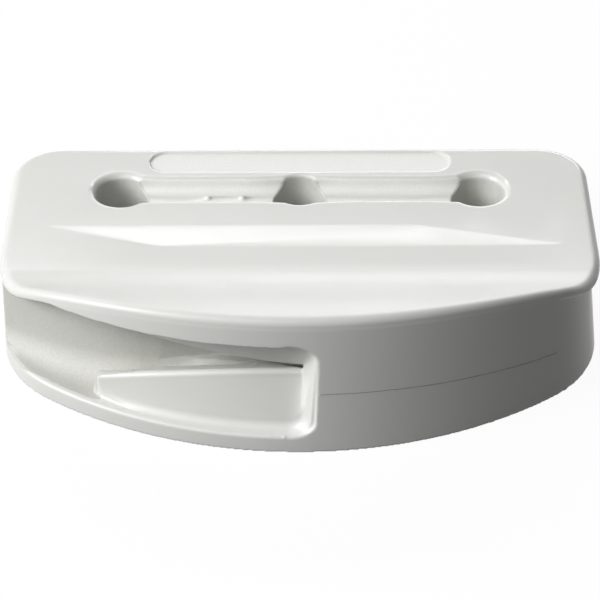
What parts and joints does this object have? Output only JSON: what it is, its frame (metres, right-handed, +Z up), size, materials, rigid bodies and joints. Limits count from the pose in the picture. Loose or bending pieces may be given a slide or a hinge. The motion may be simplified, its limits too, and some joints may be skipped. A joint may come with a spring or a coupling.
{
  "type": "side-entry rope cleat",
  "caption": "One-piece moulded D-shaped rope cleat: flat drilled flange at the rear, crowned hood in front over a side-entry jaw and a toothed rope way.",
  "frame": {"origin": "middle of the underside, which lies on the deck", "axes": "+X along the cleat towards the closed end where the rope leaves, +Y from the open front to the rear of the flange, +Z up from the deck"},
  "size_m": [0.0644, 0.0406, 0.0164],
  "materials": {
    "white_nylon": "white nylon, glossy from a polished mould outside, fine matt spark-eroded grain on the wall of the pocket"
  },
  "bodies": {
    "root": {"cleat_body": "white_nylon"}
  },
  "joints": []
}
